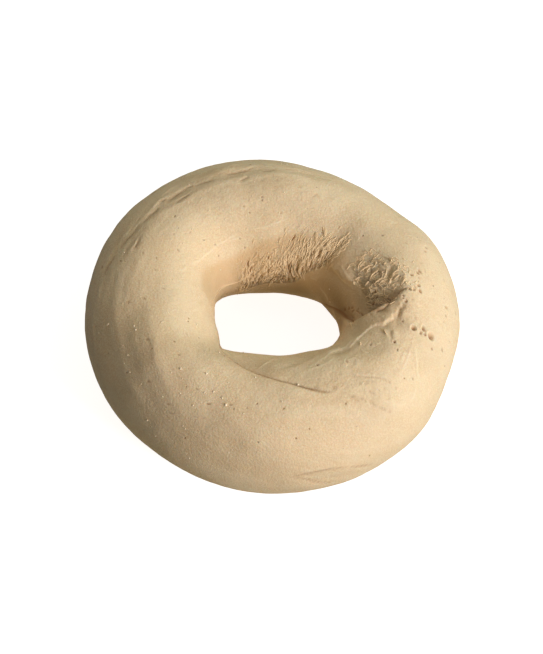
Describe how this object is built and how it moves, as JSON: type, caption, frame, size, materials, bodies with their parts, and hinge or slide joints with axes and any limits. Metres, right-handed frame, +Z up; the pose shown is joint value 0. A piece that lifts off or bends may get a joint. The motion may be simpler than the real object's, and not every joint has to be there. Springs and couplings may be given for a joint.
{
  "type": "plain bagel, shaped and unbaked",
  "caption": "Ring-shaped roll of smooth pale dough with lapped rope ends, a torn, wrinkled inner wall and an uneven open hole.",
  "frame": {"origin": "on the table under the middle of the ring's bounding box", "axes": "+Z up through the hole, +X towards the side where the rope's ends lap, -Y towards the viewer's side with the long fold seam"},
  "size_m": [0.0996, 0.1036, 0.0341],
  "materials": {
    "dough": "matte pale cream wheat dough with a soft skin sheen, flour specks and small pits"
  },
  "bodies": {
    "root": {"bagel": "dough"}
  },
  "joints": []
}
